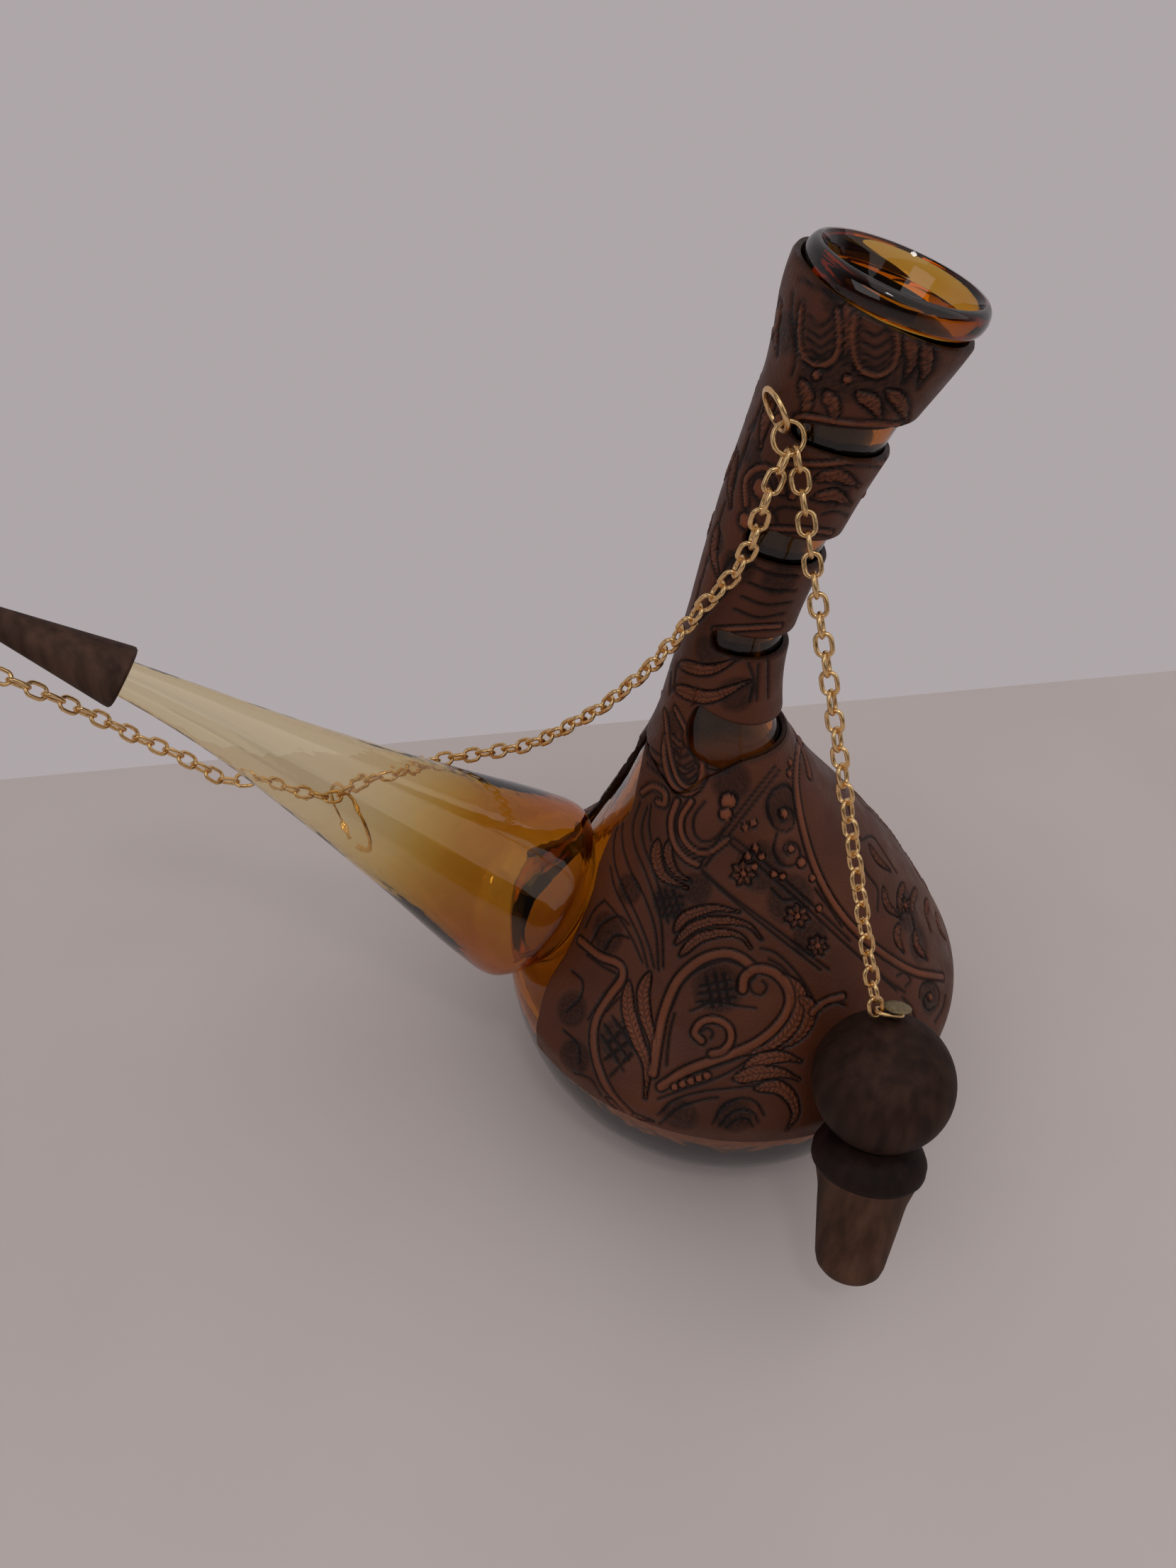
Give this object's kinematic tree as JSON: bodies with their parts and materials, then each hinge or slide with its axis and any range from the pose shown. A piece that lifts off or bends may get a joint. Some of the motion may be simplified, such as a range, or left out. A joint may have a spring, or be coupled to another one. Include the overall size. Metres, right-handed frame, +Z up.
{
  "type": "glass porron with leather jacket",
  "caption": "Glass porron with a slanted spout, jacketed in tooled leather, with a wooden ball stopper and a wooden spout cap, each on a chain from a ring on the neck.",
  "frame": {"origin": "centre of the flat foot that the porron stands on", "axes": "+Z up, the spout leans out towards -X, the mouth leans slightly towards +X, -Y is the side that the stopper hangs on"},
  "size_m": [0.2931, 0.1855, 0.278],
  "materials": {
    "amber_glass": "clear amber blown glass",
    "tooled_leather": "embossed, antiqued, slight sheen",
    "turned_wood": "stained, matte",
    "dark_wood": "dark stained, matte",
    "gilt_wire": "polished gilt wire",
    "dull_brass": "dull aged brass"
  },
  "bodies": {
    "vessel": {"glass_vessel": "amber_glass", "belly_cover": "tooled_leather", "neck_sleeve": "tooled_leather", "carrier_link": "gilt_wire", "cap_chain": "gilt_wire"},
    "neck_ring": {"neck_ring": "gilt_wire"},
    "stopper_chain": {"stopper_chain": "gilt_wire"},
    "stopper_link": {"stopper_nail_link": "gilt_wire"},
    "stopper": {"stopper_ball": "turned_wood", "stopper_collar": "dark_wood", "stopper_plug": "turned_wood", "stopper_nail": "dull_brass"},
    "cap_link": {"cap_nail_link": "gilt_wire"},
    "spout_cap": {"spout_cap": "turned_wood", "cap_nail": "dull_brass"},
    "spare_ring": {"spare_ring": "gilt_wire"}
  },
  "joints": [
    {"name": "neck_ring_turn", "type": "hinge", "parent": "vessel", "child": "neck_ring", "pos_m": [-0.01013, -0.01224, 0.24559], "axis": [-0.8896, -0.2831, -0.3584], "continuous": true},
    {"name": "stopper_swing", "type": "hinge", "parent": "vessel", "child": "stopper_chain", "pos_m": [-0.00546, -0.01791, 0.23811], "axis": [-0.9738, -0.073, -0.2152], "range_deg": [0, 30]},
    {"name": "stopper_sway", "type": "hinge", "parent": "stopper_chain", "child": "stopper_link", "pos_m": [0.02697, -0.06873, 0.103], "axis": [0.2237, -0.8948, 0.3864], "range_deg": [-20, 20]},
    {"name": "stopper_turn", "type": "hinge", "parent": "stopper_link", "child": "stopper", "pos_m": [0.0311, -0.07667, 0.08223], "axis": [-0.0879, -0.4134, -0.9063], "continuous": true},
    {"name": "cap_pull", "type": "slide", "parent": "vessel", "child": "cap_link", "axis": [-0.841, 0, 0.541], "range_m": [0, 0.028], "deforming": ["cap_chain"]},
    {"name": "cap_turn", "type": "hinge", "parent": "cap_link", "child": "spout_cap", "pos_m": [-0.17432, 0, 0.16242], "axis": [-0.841, 0, 0.541], "continuous": true},
    {"name": "spare_ring_swing", "type": "hinge", "parent": "vessel", "child": "spare_ring", "pos_m": [-0.12365, 0.02025, 0.10273], "axis": [0.5766, -0.817, 0], "range_deg": [-25, 25]}
  ]
}
